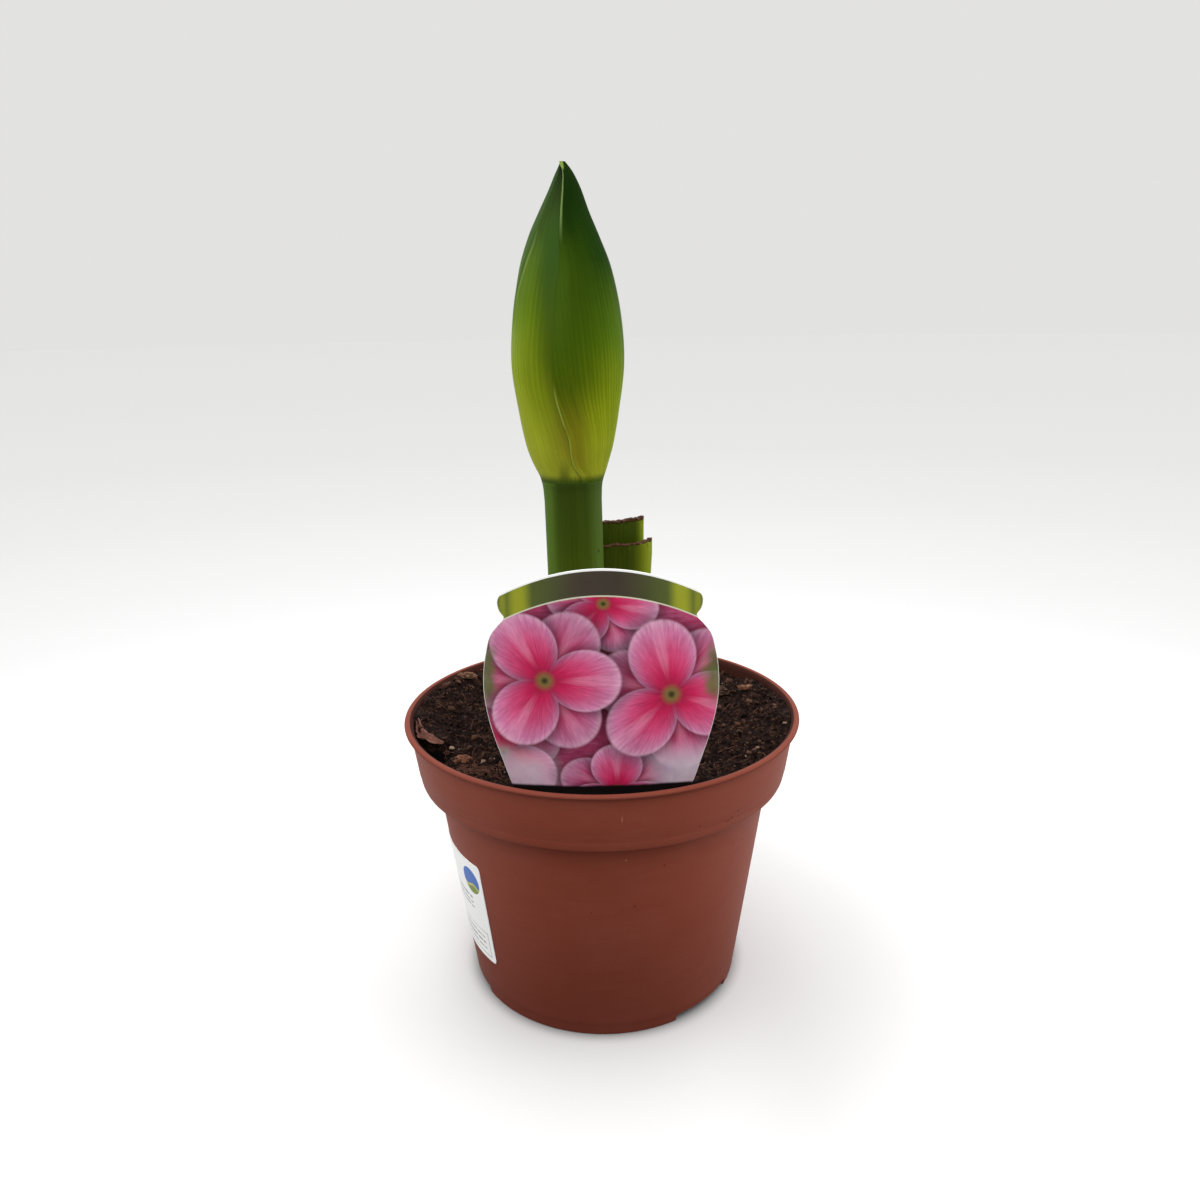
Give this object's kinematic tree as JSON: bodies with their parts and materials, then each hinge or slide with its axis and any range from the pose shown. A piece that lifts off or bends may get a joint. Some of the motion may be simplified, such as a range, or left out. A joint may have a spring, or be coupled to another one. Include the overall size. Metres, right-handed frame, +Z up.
{
  "type": "potted amaryllis",
  "caption": "Amaryllis bulb in a round nursery pot, with one closed flower bud on a thick stalk, cut leaf stubs and a plain picture label stuck in the soil.",
  "frame": {"origin": "centre of the pot's foot, on the surface that the pot stands on", "axes": "+Z up, along the pot's axis; the label's printed face looks towards -Y; +X is to the right of a viewer who faces the label"},
  "size_m": [0.15, 0.15, 0.3016],
  "materials": {
    "terracotta_plastic": "satin",
    "peat_soil": "matte",
    "bulb_tunic": "matte",
    "stalk_green": "satin",
    "bract_green": "satin",
    "bud_green": "satin",
    "leaf_green": "satin",
    "printed_card": "satin",
    "sticker_paper": "satin",
    "papery_scale": "matte",
    "bark_chip": "matte"
  },
  "bodies": {
    "root": {"pot": "terracotta_plastic", "soil": "peat_soil", "bulb": "bulb_tunic", "flower_stalk": "stalk_green", "bract_left": "bract_green", "bract_right": "bract_green", "flower_buds": "bud_green", "leaf_outer": "leaf_green", "leaf_inner": "leaf_green", "picture_label": "printed_card", "pot_sticker": "sticker_paper", "tunic_flake": "papery_scale", "soil_chip_1": "bark_chip", "soil_chip_2": "bark_chip", "soil_chip_3": "bark_chip", "soil_chip_4": "bark_chip"}
  },
  "joints": []
}
